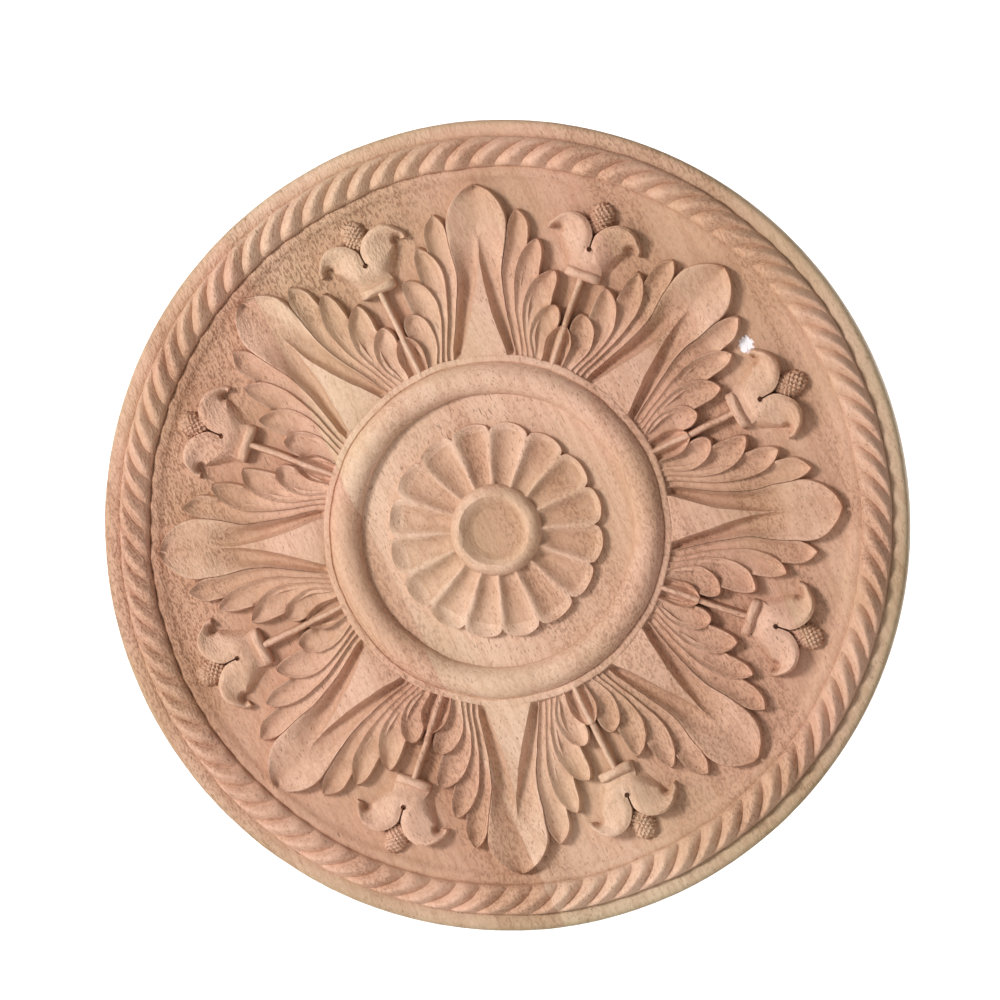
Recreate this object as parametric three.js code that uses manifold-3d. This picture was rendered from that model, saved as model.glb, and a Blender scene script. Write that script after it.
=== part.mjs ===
// Carved wooden rosette: a round plaque, flat at the back, carved on its face with a rope rim, eight
// long leaves with feathered side lobes, eight small flowers, and a moulded ring round a daisy.
// Millimetres. The carving is worked out lying on its back, then stood up as it hangs: the back is the
// plane Y = 0, the face looks along -Y and +Z is up. The origin is the middle of the back.

import * as THREE from 'three';
import { mergeVertices } from 'three/addons/utils/BufferGeometryUtils.js';
import Module from 'manifold-3d';

const wasm = await Module();
wasm.setup();

const { lerp, degToRad } = THREE.MathUtils;

// Round sizes, from the edge inwards
const DIAMETER = 300;
const LEDGE_WIDTH = 4.2;
const EDGE_ROUND = 1.8;
const QUIRK_WIDTH = 1.2;
const ROPE_WIDTH = 11.4;
const FILLET_WIDTH = 2.4;
const FIELD_MARGIN = 2.8; // from the fillet to the tips of the long leaves
const RING_FOOT_DIAMETER = 129.6;
const RING_LEDGE = 2.8;
const RING_WIDTH = 11.6;
const DAISY_DIAMETER = 79.6;
const BUTTON_DIAMETER = 34.2;
const DISH_DIAMETER = 20;

// Heights above the flat back
const LEDGE_HEIGHT = 12;
const QUIRK_DEPTH = 1.2;
const ROPE_HEIGHT = 17.4;
const FILLET_HEIGHT = 12.6;
const FIELD_HEIGHT = 11;
const RING_LEDGE_HEIGHT = 16.6;
const RING_HEIGHT = 20.8;
const INNER_DISC_HEIGHT = 15;
const DAISY_HEIGHT = 18.2;
const BUTTON_HEIGHT = 21.6;

// Heights of the carving above the field, and how deep its hollows are
const LEAF_RISE = 5;
const LEAF_HOLLOW = 1.5;
const CHANNEL_DEPTH = 2.8;
const FLOWER_RISE = 6.4;
const PETAL_HOLLOW = 2.2;
const DAISY_RIM = 1.6;
const DAISY_NOTCH = 3.2;
const BUTTON_DISH = 3.4;
const STRAND_GROOVE = 1.7;

// Counts and turns
const LEAVES = 8;
const PETALS = 2 * LEAVES;
const STRANDS = 11 * LEAVES;
const MOULDING_SIDES = 3 * PETALS;
const STRAND_LEAN = 4.5; // degrees that a strand runs on between the outside of the rope and its inside
const CARVING_TURN = 4; // degrees that the first leaf leans from upright

// How deep the carving stands in the field and in the ring, so that all of it is one piece of wood
const SINK = 1;

const WOOD = { color: 0xd9b396, roughness: 0.75, metalness: 0 };

// Radii that follow from the sizes
const discRadius = DIAMETER / 2;
const ropeOuter = discRadius - EDGE_ROUND - LEDGE_WIDTH;
const ropeInner = ropeOuter - ROPE_WIDTH;
const filletInner = ropeInner - FILLET_WIDTH;
const leafTip = filletInner - FIELD_MARGIN;
const ringFoot = RING_FOOT_DIAMETER / 2;
const ringOuter = ringFoot - RING_LEDGE;
const ringInner = ringOuter - RING_WIDTH;
const daisyOuter = DAISY_DIAMETER / 2;
const buttonOuter = BUTTON_DIAMETER / 2;
const dishOuter = DISH_DIAMETER / 2;
const leafLength = leafTip - ringFoot;
const footAlong = -SINK / leafLength;
const halfSector = Math.PI / LEAVES;

// The carving between the ring and the leaf tips is laid out on two shares: along, 0 at the ring and 1
// at the tip of a leaf, and across, 0 on the axis of a flower and 1 on the axis of a leaf. Stations are
// the places of the cross sections, as shares of the lobe's own length.
const LOBES = [
  { tip: { along: 0.849, across: 0.636 }, outer: { along: 0.586, across: 0.765, foot: 0.54 },
    inner: { along: 0.728, across: 0.549, foot: 0.44 }, rise: 0.8, hollow: 0.3,
    stations: [0.4, 0.72, 0.92, 1] },
  { tip: { along: 0.686, across: 0.458 }, outer: { along: 0.45, across: 0.644, foot: 0.45 },
    inner: { along: 0.574, across: 0.411, foot: 0.36 }, rise: 0.88, hollow: 0.32,
    stations: [0.45, 0.82, 1] },
  { tip: { along: 0.521, across: 0.267 }, outer: { along: 0.296, across: 0.524, foot: 0.37 },
    inner: { along: 0.432, across: 0.22, foot: 0.28 }, rise: 0.96, hollow: 0.34,
    stations: [0.45, 0.82, 1] },
  { tip: { along: 0.317, across: 0.18 }, outer: { along: 0.154, across: 0.396, foot: 0.29 },
    inner: { along: 0.243, across: 0.08, foot: 0.17 }, rise: 1.04, hollow: 0.34,
    stations: [0.4, 0.8, 1] },
];
const LOBE_OVERLAP = 0.07; // share across by which a lobe runs in under the next
const TIP_WIDTH = 0.01; // share across left at the point of a leaf or lobe
const TIP_BEND = 2.3; // power of the curve that closes an edge on its tip

// The bulb at the foot of the stem, which the smallest lobes wrap
const BULB = {
  tip: { along: 0.215, across: 0.04 }, outer: { along: 0.1, across: 0.173, foot: 0.155 }, rise: 0.78,
};

// The long leaf, with half its width as a share of the half sector
const LEAF = {
  neck: 0.5, neckHalf: 0.209, footHalf: 0.458, flare: 1.7, belly: 0.76, bellyHalf: 0.244, lip: 0.2,
};
const WEDGE = { end: 0.67, footHalf: 0.351, taper: 2.4, rise: 1.05 };

// Forms of a flower: lengths and widths as shares of the length of a leaf, heights as shares of the
// flower's rise. A hook is drawn round its eye, from its inner reach to its outer one.
const STEM = { half: 0.019, rise: 0.75 };
const COLLAR = { along: 0.57, half: 0.115, depth: 0.051, rise: 0.875 };
const CALYX = { foot: 0.608, end: 0.7, waist: 0.102, half: 0.13, rise: 0.72 };
const BUD = { along: 0.905, half: 0.075, length: 0.102, rise: 0.81 };
const SHOULDER = 0.8; // height of the side of a form as a share of its crest
const HOOK = {
  along: 0.735, across: 0.2, inner: 0.188, outer: 0.089, curl: 1.2, eye: 0.05, rim: 0.6, floor: 0.1,
  fall: 0.1, turns: [-150, -85, -25, 35, 100],
};

function radiusAt(along) {
  return lerp(ringFoot, leafTip, along);
}

// A manifold solid of a closed geometry, with its shared points merged and its empty triangles dropped
function solidOf(geometry) {
  const bare = geometry.clone();
  bare.deleteAttribute('normal');
  bare.deleteAttribute('uv');
  const merged = mergeVertices(bare);
  const index = merged.index.array;
  const corners = [];
  for (let i = 0; i < index.length; i += 3) {
    const [a, b, c] = index.slice(i, i + 3);
    if (a !== b && b !== c && c !== a) corners.push(a, b, c);
  }
  const mesh = new wasm.Mesh({
    numProp: 3,
    vertProperties: merged.attributes.position.array,
    triVerts: new Uint32Array(corners),
  });
  return new wasm.Manifold(mesh);
}

function geometryFrom(points, triangles) {
  const geometry = new THREE.BufferGeometry();
  geometry.setAttribute('position', new THREE.Float32BufferAttribute(points.flat(), 3));
  geometry.setIndex(triangles.flat());
  return geometry;
}

function polar(radius, angle, height) {
  return [radius * Math.cos(angle), radius * Math.sin(angle), height];
}

// A ring of points round the middle, each from its own angle
function ringOf(count, pointAt) {
  return Array.from({ length: count }, (_, column) => pointAt(2 * Math.PI * column / count, column));
}

function roundRing(count, radius, height) {
  return ringOf(count, (angle) => polar(radius, angle, height));
}

// A half or quarter round as rings, from one angle of its section to another
function roundRings(count, middle, foot, width, height, from, to, steps) {
  return Array.from({ length: steps + 1 }, (_, step) => {
    const turn = lerp(from, to, step / steps);
    return roundRing(count, middle + width * Math.cos(turn), foot + height * Math.sin(turn));
  });
}

// Triangles between two rings, whose counts of points may differ
function stitch(outer, inner) {
  const triangles = [];
  let i = 0;
  let j = 0;
  while (i < outer.count || j < inner.count) {
    const a = outer.start + i % outer.count;
    const b = inner.start + j % inner.count;
    if ((i + 1) * inner.count <= (j + 1) * outer.count) {
      i += 1;
      triangles.push([a, outer.start + i % outer.count, b]);
    } else {
      j += 1;
      triangles.push([a, inner.start + j % inner.count, b]);
    }
  }
  return triangles;
}

// A solid whose skin is a stack of rings, which starts and ends in a single point
function stack(rings) {
  const triangles = [];
  let start = 0;
  for (let i = 0; i + 1 < rings.length; i++) {
    const outer = { start, count: rings[i].length };
    const inner = { start: start + outer.count, count: rings[i + 1].length };
    triangles.push(...stitch(outer, inner));
    start = inner.start;
  }
  return solidOf(geometryFrom(rings.flat(), triangles));
}

// A solid through cross sections of equal count, closed at both ends by a fan
function loft(sections) {
  const size = sections[0].length;
  const triangles = [];
  for (let s = 0; s + 1 < sections.length; s++) {
    for (let i = 0; i < size; i++) {
      const j = (i + 1) % size;
      const a = s * size;
      const b = a + size;
      triangles.push([a + i, a + j, b + j], [a + i, b + j, b + i]);
    }
  }
  const end = (sections.length - 1) * size;
  for (let i = 1; i + 1 < size; i++) {
    triangles.push([0, i + 1, i], [end, end + i, end + i + 1]);
  }
  return solidOf(geometryFrom(sections.flat(), triangles));
}

// A cross section over the field: its top from one angle to the next, its foot sunk in the field
function sectionAt(radius, tops) {
  const foot = FIELD_HEIGHT - SINK;
  const first = tops[0].angle;
  const last = tops[tops.length - 1].angle;
  return [
    polar(radius, (first + last) / 2, foot),
    polar(radius, last, foot),
    ...tops.toReversed().map((top) => polar(radius, top.angle, FIELD_HEIGHT + top.rise)),
    polar(radius, first, foot),
  ];
}

// The flat back and the edge, with the plain ledge and the quirk at the foot of the rope
function edge() {
  const round = roundRings(STRANDS, discRadius - EDGE_ROUND, LEDGE_HEIGHT - EDGE_ROUND,
    EDGE_ROUND, EDGE_ROUND, 0, Math.PI / 2, 1);
  return [
    roundRing(STRANDS, discRadius, 0),
    ...round,
    roundRing(STRANDS, ropeOuter + QUIRK_WIDTH, LEDGE_HEIGHT),
  ];
}

// The rope: a half round with a groove between every two strands, which lean as they cross it
function rope() {
  const bands = 4;
  const middle = (ropeOuter + ropeInner) / 2;
  const foot = LEDGE_HEIGHT - QUIRK_DEPTH;
  return Array.from({ length: bands + 1 }, (_, band) => {
    const turn = Math.PI * band / bands;
    const atFoot = band === 0 || band === bands;
    return ringOf(atFoot ? STRANDS : 2 * STRANDS, (angle, column) => {
      const groove = atFoot || column % 2 ? 0 : STRAND_GROOVE;
      const radius = middle + (ROPE_WIDTH - groove) / 2 * Math.cos(turn);
      const lean = degToRad(STRAND_LEAN) * (ropeOuter - radius) / ROPE_WIDTH;
      return polar(radius, angle + lean, foot + (ROPE_HEIGHT - foot - groove) * Math.sin(turn));
    });
  });
}

// The thin fillet inside the rope, where the strands end, down to the field
function fillet() {
  const profile = [[ropeInner - FILLET_WIDTH / 3, FILLET_HEIGHT], [filletInner, FIELD_HEIGHT]];
  return profile.map(([radius, height]) => {
    return ringOf(STRANDS, (angle) => polar(radius, angle + degToRad(STRAND_LEAN), height));
  });
}

// The moulded ring, with the ledge at its foot
function ring() {
  const spring = Math.PI / 4;
  const round = roundRings(MOULDING_SIDES, (ringOuter + ringInner) / 2, INNER_DISC_HEIGHT, RING_WIDTH / 2,
    RING_HEIGHT - INNER_DISC_HEIGHT, spring, Math.PI, 3);
  return [
    roundRing(MOULDING_SIDES, ringFoot, FIELD_HEIGHT),
    roundRing(MOULDING_SIDES, ringFoot, RING_LEDGE_HEIGHT),
    roundRing(MOULDING_SIDES, ringOuter, RING_LEDGE_HEIGHT),
    ...round,
  ];
}

// The daisy: a rim round every petal, hollow within
function daisy() {
  const perPetal = 4;
  const rows = [
    { radius: (outline) => outline, height: INNER_DISC_HEIGHT, hollow: 0 },
    { radius: (outline) => outline - DAISY_RIM / 2, height: DAISY_HEIGHT, hollow: 0 },
    { radius: (outline) => outline - 2 * DAISY_RIM, height: DAISY_HEIGHT, hollow: PETAL_HOLLOW },
    { radius: () => buttonOuter + DAISY_RIM, height: DAISY_HEIGHT, hollow: PETAL_HOLLOW },
  ];
  return rows.map(({ radius, height, hollow }) => ringOf(perPetal * PETALS, (angle, column) => {
    const bow = Math.sin(Math.PI * (column % perPetal) / perPetal);
    const outline = daisyOuter - DAISY_NOTCH * (1 - bow);
    return polar(radius(outline), angle, height - hollow * bow);
  }));
}

// The button in the middle, dished
function button() {
  const crest = (buttonOuter + dishOuter) / 2;
  const dishFloor = BUTTON_HEIGHT - BUTTON_DISH;
  return [
    roundRing(PETALS, buttonOuter, DAISY_HEIGHT - PETAL_HOLLOW / 2),
    roundRing(PETALS, crest, BUTTON_HEIGHT),
    roundRing(PETALS, dishOuter, BUTTON_HEIGHT - BUTTON_DISH / 4),
    roundRing(PETALS, dishOuter / 2, dishFloor),
  ];
}

// Everything that goes round the middle, from the back over the edge to the button
function disc() {
  const rings = [...edge(), ...rope(), ...fillet(), ...ring(), ...daisy(), ...button()];
  return stack([[[0, 0, 0]], ...rings, [[0, 0, BUTTON_HEIGHT - BUTTON_DISH]]]);
}

// Where an edge of a lobe runs: out from its foot to its widest place, then round to the tip
function edgeAcross(edge, tip, along) {
  if (along <= edge.along) {
    const rise = Math.sin(Math.PI / 2 * Math.max(along, 0) / edge.along);
    return lerp(edge.foot, edge.across, rise);
  }
  const turn = Math.min((along - edge.along) / (tip.along - edge.along), 1);
  return lerp(edge.across, tip.across, turn ** TIP_BEND);
}

// One side lobe: a hollow blade from the ring to its tip, beside the flower on the given side. Where
// the next lobe lies over it, it has no edge of its own and runs in under that one.
function lobe(index, axis, side) {
  const { tip, outer, inner, rise, hollow, stations } = LOBES[index];
  const over = LOBES[index + 1] ?? BULB;
  const sections = [footAlong / tip.along, ...stations].map((share) => {
    const along = share * tip.along;
    const out = edgeAcross(outer, tip, along);
    const free = edgeAcross(inner, tip, along);
    const cover = along < over.tip.along ? edgeAcross(over.outer, over.tip, along) : 0;
    const into = Math.min(Math.max(free, cover - LOBE_OVERLAP), out - TIP_WIDTH);
    const floor = LEAF_RISE * (share < 1 ? rise - hollow : rise);
    const tops = [
      { across: out, rise: LEAF_RISE * rise },
      { across: (out + Math.max(into, cover)) / 2, rise: floor },
      { across: into, rise: cover > free ? floor : LEAF_RISE * rise },
    ].map((top) => ({ angle: axis + side * top.across * halfSector, rise: top.rise }));
    return sectionAt(radiusAt(along), side > 0 ? tops.toReversed() : tops);
  });
  return loft(sections);
}

// Half the width of the long leaf, and of the wedge between its two channels, as shares across
function leafHalf(along) {
  if (along < LEAF.neck) {
    const flare = ((LEAF.neck - along) / LEAF.neck) ** LEAF.flare;
    return lerp(LEAF.neckHalf, LEAF.footHalf, flare);
  }
  if (along < LEAF.belly) {
    const swell = (along - LEAF.neck) / (LEAF.belly - LEAF.neck);
    return lerp(LEAF.neckHalf, LEAF.bellyHalf, Math.sin(Math.PI / 2 * swell));
  }
  return LEAF.bellyHalf * (1 - ((along - LEAF.belly) / (1 - LEAF.belly)) ** 2);
}

function wedgeHalf(along) {
  const left = Math.max(WEDGE.end - Math.max(along, 0), 0) / WEDGE.end;
  return WEDGE.footHalf * left ** WEDGE.taper;
}

// A long leaf: a spoon at its tip, and two channels from the ring with a wedge between them
function leaf(axis) {
  const sections = [footAlong, 0.12, 0.3, 0.5, 0.8, 0.93, 1].map((along) => {
    const half = Math.max(leafHalf(along), TIP_WIDTH);
    const wedge = Math.max(wedgeHalf(along), TIP_WIDTH / 2);
    const hollow = along < WEDGE.end ? CHANNEL_DEPTH : LEAF_HOLLOW;
    const floor = LEAF_RISE - hollow * Math.min(1, (1 - along) / LEAF.lip);
    const crest = lerp(WEDGE.rise, 1 - LEAF_HOLLOW / LEAF_RISE, Math.min(along / WEDGE.end, 1));
    const line = along < WEDGE.end ? LEAF_RISE * crest : floor;
    const across = [-half, -(half + wedge) / 2, -wedge, 0, wedge, (half + wedge) / 2, half];
    const rises = [LEAF_RISE, floor, line, line, line, floor, LEAF_RISE];
    const tops = across.map((share, i) => ({ angle: axis + share * halfSector, rise: rises[i] }));
    return sectionAt(radiusAt(along), tops);
  });
  return loft(sections);
}

// A point beside the axis of a flower, a height over the field
function besideAxis(axis, along, beside, height) {
  const radius = radiusAt(along);
  const across = beside * leafLength;
  return [
    radius * Math.cos(axis) - across * Math.sin(axis),
    radius * Math.sin(axis) + across * Math.cos(axis),
    FIELD_HEIGHT + height,
  ];
}

// A bar along the axis of a flower, through cross sections with a crest in the middle
function bar(axis, sections) {
  return loft(sections.map(({ along, half, rise }) => [
    besideAxis(axis, along, 0, -SINK),
    besideAxis(axis, along, half, -SINK),
    besideAxis(axis, along, half, rise * FLOWER_RISE * SHOULDER),
    besideAxis(axis, along, 0, rise * FLOWER_RISE),
    besideAxis(axis, along, -half, rise * FLOWER_RISE * SHOULDER),
    besideAxis(axis, along, -half, -SINK),
  ]));
}

function stem(axis) {
  return bar(axis, [
    { along: BULB.outer.along, half: STEM.half, rise: STEM.rise },
    { along: COLLAR.along, half: STEM.half, rise: STEM.rise },
  ]);
}

function bulb(axis) {
  return bar(axis, [footAlong, BULB.outer.along, BULB.tip.along].map((along) => {
    const half = radiusAt(along) * halfSector * edgeAcross(BULB.outer, BULB.tip, along) / leafLength;
    return { along, half, rise: BULB.rise };
  }));
}

// The collar on top of the stem, and the cup that grows out of it
function calyx(axis) {
  const collarFoot = COLLAR.along - COLLAR.depth / 2;
  const collarTop = COLLAR.along + COLLAR.depth / 2;
  return bar(axis, [
    { along: collarFoot, half: COLLAR.half, rise: COLLAR.rise },
    { along: collarTop, half: COLLAR.half, rise: COLLAR.rise },
    { along: CALYX.foot, half: CALYX.waist, rise: CALYX.rise },
    { along: CALYX.end, half: CALYX.half, rise: CALYX.rise },
  ]);
}

// One petal of a flower: a high rim that turns outwards over a hollow, like a hook
function petal(axis, side) {
  const last = HOOK.turns.length - 1;
  const sections = HOOK.turns.map((degrees, i) => {
    const turn = degToRad(degrees);
    const reach = lerp(HOOK.inner, HOOK.outer, (i / last) ** HOOK.curl);
    const rim = FLOWER_RISE * (1 - HOOK.fall * (1 - Math.cos(turn)));
    const at = (share, height) => {
      const along = HOOK.along + share * reach * Math.cos(turn);
      const beside = HOOK.across + share * reach * Math.sin(turn);
      return besideAxis(axis, along, side * beside, height);
    };
    return [
      at(HOOK.eye, -SINK),
      at(1, -SINK),
      at(1, rim),
      at(HOOK.rim, rim * SHOULDER),
      at(HOOK.eye, FLOWER_RISE * HOOK.floor),
    ];
  });
  return loft(side > 0 ? sections.toReversed() : sections);
}

// The round bud above a flower, half of it out of the field
function bud(axis) {
  const geometry = new THREE.SphereGeometry(1, 6, 4);
  geometry.scale(BUD.length * leafLength, BUD.half * leafLength, BUD.rise * FLOWER_RISE);
  geometry.rotateZ(axis);
  geometry.translate(...besideAxis(axis, BUD.along, 0, 0));
  return solidOf(geometry);
}

// All the carving of one sector, beside the axis of its flower
function sector(axis) {
  const bodies = [leaf(axis + halfSector), stem(axis), bulb(axis), calyx(axis), bud(axis)];
  for (const side of [1, -1]) {
    bodies.push(petal(axis, side), ...LOBES.map((_, index) => lobe(index, axis, side)));
  }
  return bodies;
}

function carving() {
  let whole = disc();
  for (let i = 0; i < LEAVES; i++) {
    for (const body of sector((2 * i + 1) * halfSector)) {
      whole = whole.add(body);
    }
  }
  return whole;
}

function meshOf(name, solid, material) {
  const { vertProperties, triVerts } = solid.getMesh();
  const geometry = new THREE.BufferGeometry();
  geometry.setAttribute('position', new THREE.BufferAttribute(vertProperties, 3));
  geometry.setIndex(new THREE.BufferAttribute(triVerts, 1));
  const mesh = new THREE.Mesh(geometry, new THREE.MeshStandardMaterial(material));
  mesh.name = name;
  return mesh;
}

const rosette = new THREE.Group();
const wood = meshOf('carved_rosette', carving(), { ...WOOD, flatShading: true });
wood.rotation.set(Math.PI / 2, 0, Math.PI / 2 + degToRad(CARVING_TURN));
rosette.add(wood);

export default rosette;
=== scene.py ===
"""Carved wooden rosette, hung upright: back on the plane Y = 0, face towards -Y, +Z up, in metres."""

import math

import bpy
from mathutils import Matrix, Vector


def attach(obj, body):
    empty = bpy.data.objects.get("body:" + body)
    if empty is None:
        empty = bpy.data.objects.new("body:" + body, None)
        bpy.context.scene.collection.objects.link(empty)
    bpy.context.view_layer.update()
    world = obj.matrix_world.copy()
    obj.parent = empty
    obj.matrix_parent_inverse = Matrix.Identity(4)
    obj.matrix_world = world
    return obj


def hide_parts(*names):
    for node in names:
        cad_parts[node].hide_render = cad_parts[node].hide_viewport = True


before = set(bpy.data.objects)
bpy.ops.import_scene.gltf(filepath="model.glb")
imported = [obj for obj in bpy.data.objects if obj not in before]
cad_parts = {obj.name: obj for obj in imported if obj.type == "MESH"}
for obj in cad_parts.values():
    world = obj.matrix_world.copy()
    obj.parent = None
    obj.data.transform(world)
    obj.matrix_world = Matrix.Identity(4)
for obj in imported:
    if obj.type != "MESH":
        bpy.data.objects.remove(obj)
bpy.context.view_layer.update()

MM = 0.001

# Round sizes, from the edge inwards
DIAMETER = 300 * MM
LEDGE_WIDTH = 4.2 * MM
EDGE_ROUND = 1.8 * MM
QUIRK_WIDTH = 1.2 * MM
ROPE_WIDTH = 11.4 * MM
FILLET_WIDTH = 2.4 * MM
FIELD_MARGIN = 2.8 * MM
RING_FOOT_DIAMETER = 129.6 * MM
RING_LEDGE = 2.8 * MM
RING_WIDTH = 11.6 * MM
DAISY_DIAMETER = 79.6 * MM
BUTTON_DIAMETER = 34.2 * MM
BUTTON_CREST = 12.8 * MM

# Heights above the flat back
LEDGE_HEIGHT = 12 * MM
QUIRK_DEPTH = 0.8 * MM
ROPE_HEIGHT = 17.4 * MM
FILLET_HEIGHT = 12.6 * MM
FIELD_HEIGHT = 11 * MM
RING_LEDGE_HEIGHT = 16.6 * MM
RING_HEIGHT = 20.8 * MM
INNER_DISC_HEIGHT = 15 * MM
DAISY_HEIGHT = 18.2 * MM
BUTTON_HEIGHT = 21.6 * MM

# Heights of the carving above the field, and depths of its hollows
LEAF_RISE = 5 * MM
CHANNEL_DEPTH = 4.4 * MM
FLOWER_RISE = 6.4 * MM
PETAL_HOLLOW = 3.1 * MM
DAISY_RIM = 0.7 * MM
DAISY_SCOOP_END = 3.8 * MM
DAISY_NOTCH = 3.2 * MM
BUTTON_DISH = 4.2 * MM
STRAND_GROOVE = 3.4 * MM

# How far parts sink into what they stand on, and how far their sides lean out down to the field
SINK = 1 * MM
DRAFT = 0.7 * MM

# What repeats. All of it is turned a little, and what is inside the rope sits a little off the middle
LEAVES = 8
PETALS = 2 * LEAVES
STRANDS = 11 * LEAVES
STRAND_LEAN = math.radians(5.2)
STRAND_COLUMNS = 9
CARVING_TURN = math.radians(4)
CARVING_SHIFT = (-1.2 * MM, -1.1 * MM)
HALF_SECTOR = math.pi / LEAVES

ROPE_OUTER = DIAMETER / 2 - EDGE_ROUND - LEDGE_WIDTH
ROPE_INNER = ROPE_OUTER - ROPE_WIDTH
FILLET_INNER = ROPE_INNER - FILLET_WIDTH
LEAF_TIP = FILLET_INNER - FIELD_MARGIN
RING_FOOT = RING_FOOT_DIAMETER / 2
LEAF_LENGTH = LEAF_TIP - RING_FOOT

# Side lobes, on two shares: along, 0 at the ring and 1 at the tip of a leaf, and across, 0 on the axis
# of a flower and 1 on the axis of a leaf. Each edge has its widest place and its foot.
LOBES = [
    {
        "Tip Along": 0.852, "Tip Across": 0.66, "Blunt": 0.85, "Beside Leaf": 1,
        "Outer Along": 0.72, "Outer Across": 0.74, "Outer Foot": 0.54,
        "Inner Along": 0.728, "Inner Across": 0.549, "Inner Foot": 0.44,
        "Rise": 4.4 * MM, "Hollow": 3.0 * MM,
    },
    {
        "Tip Along": 0.69, "Tip Across": 0.465, "Blunt": 0.68, "Beside Leaf": 0,
        "Outer Along": 0.45, "Outer Across": 0.644, "Outer Foot": 0.45,
        "Inner Along": 0.574, "Inner Across": 0.405, "Inner Foot": 0.36,
        "Rise": 4.8 * MM, "Hollow": 3.1 * MM,
    },
    {
        "Tip Along": 0.527, "Tip Across": 0.265, "Blunt": 0.6, "Beside Leaf": 0,
        "Outer Along": 0.296, "Outer Across": 0.524, "Outer Foot": 0.37,
        "Inner Along": 0.432, "Inner Across": 0.215, "Inner Foot": 0.28,
        "Rise": 5.2 * MM, "Hollow": 3.2 * MM,
    },
    {
        "Tip Along": 0.33, "Tip Across": 0.17, "Blunt": 0.55, "Beside Leaf": 0,
        "Outer Along": 0.154, "Outer Across": 0.396, "Outer Foot": 0.29,
        "Inner Along": 0.243, "Inner Across": 0.075, "Inner Foot": 0.17,
        "Rise": 5.6 * MM, "Hollow": 3.2 * MM,
    },
]

# The bulb at the foot of a stem, on the same two shares
BULB = {
    "Tip Along": 0.225, "Tip Across": 0.04,
    "Outer Along": 0.1, "Outer Across": 0.173, "Outer Foot": 0.155,
}
BULB_BLUNT = 0.9

# Rules that the lobes share. Widths across are shares of the half sector, and the two limits are shares
# of the width of a lobe.
LOBE_OVERLAP = 0.07
LOBE_FREE_STEP = 0.03
LOBE_HOLLOW_LIMIT = 0.44
LOBE_SOFT_LIMIT = 0.2
TIP_WIDTH = 0.012
SEAM = 0.006
EDGE_SOFT = 0.55 * MM
EDGE_SOFT_FROM = 0.95
EDGE_SOFT_TO = 1.005

# The long leaf and the wedge between its channels, half widths as shares of the half sector
LEAF_NECK = 0.5
LEAF_NECK_HALF = 0.222
LEAF_FOOT_HALF = 0.466
LEAF_FLARE = 1.7
LEAF_BELLY = 0.76
LEAF_BELLY_HALF = 0.25
LEAF_BLUNT = 0.7
WEDGE_END = 0.69
WEDGE_FOOT_HALF = 0.345
WEDGE_TAPER = 2.4
WEDGE_RISE = 6.0 * MM
WEDGE_FOOT_DROP = 0.9 * MM
SPOON_HOLLOW = 3.2 * MM

# The small hole between the two petals of a flower
NOTCH_RADIUS = 108.6 * MM
DRILL_RADIUS = 1 * MM

# The wood: its grain as X and Z shares, its two glue lines across the grain, its colours, and the colours
# of its painted shade
GRAIN = (0.447, -0.894)
GLUE_LINES = (-44.5 * MM, 82 * MM)
MIDDLE_PALE = (0.69, 0.47, 0.335, 1)
MIDDLE_PINK = (0.63, 0.375, 0.265, 1)
LEFT_PLANK = (0.645, 0.395, 0.28, 1)
RIGHT_PLANK = (0.64, 0.395, 0.275, 1)
GROWTH_DARK = (0.86, 0.8, 0.76, 1)
STREAK_DARK = (0.88, 0.82, 0.78, 1)
CLOUD_GREEN = (0.9, 0.92, 0.84, 1)
PORE_COLOR = (0.22, 0.11, 0.06, 1)
TORN_DARK = (0.5, 0.42, 0.36, 1)
EDGE_GREY = (0.86, 0.9, 0.84, 1)
LEDGE_PAINTED_SHADE = (0.82, 0.92, 0.87, 1)
ROUGH_AND_SHADE_DARK = (0.82, 0.76, 0.7, 1)
CHIP_WHITE = (0.86, 0.82, 0.84, 1)
CHIP_PLACE = (90.4 * MM, 67.6 * MM)
CHIP_HALF = 2.7 * MM
CHIP_TALL = 1.2

# How fine the wood's patterns are, in lengths per metre
BAND_SCALE = 48
STREAK_SCALE = 560
CLOUD_SCALE = 30
DASH_SCALE = 1900
FIBRE_SCALE = 1150

# Heights above the back, in mm, between which the carved face begins, the low ground turns darker for its
# rough surface and for painted shade, and each kind of hollow gets painted shade
FRONT_HEIGHTS = (6, 9)
GROUND_HEIGHTS = (14.5, 11.6)
LEAF_HOLLOW_HEIGHTS = (16.2, 12.6)
SCOOP_HEIGHTS = (18, 15.6)
DISH_HEIGHTS = (21.2, 18.4)

# How far from the middle the scoops of the daisy and the dish of the button reach
SCOOP_REACH = 36 * MM
DISH_REACH = 12 * MM

# Backdrop: a pale floor that sweeps up behind
FLOOR_DROP = 0.35
FLOOR_REACH = 4.0
BACK_WALL = 2.6
SWEEP_ROUND = 1.0
SWEEP_STEPS = 12
FLOOR_GREY = (0.9, 0.9, 0.9, 1)

# Light from the left, a little above, and two lamps on the wall behind
SKY_STRENGTH = 0.38
KEY_PLACE = (-1.7, -1.9, 0.5)
KEY_SIZE = 0.6
KEY_POWER = 61
WALL_POWER = 42
WALL_PLACE = (1.9, 1.5, 0.6)
WALL_SIZE = 1.0

# Camera: the photograph looks at the face from a little to its right
YAW = math.radians(8)
PITCH = math.radians(2.5)
DISTANCE = 1.65
PHOTO_SIDE = 1000
DISC_PIXELS = 813
DISC_CENTRE = (501.2, 526.8)
SENSOR = 36


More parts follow.
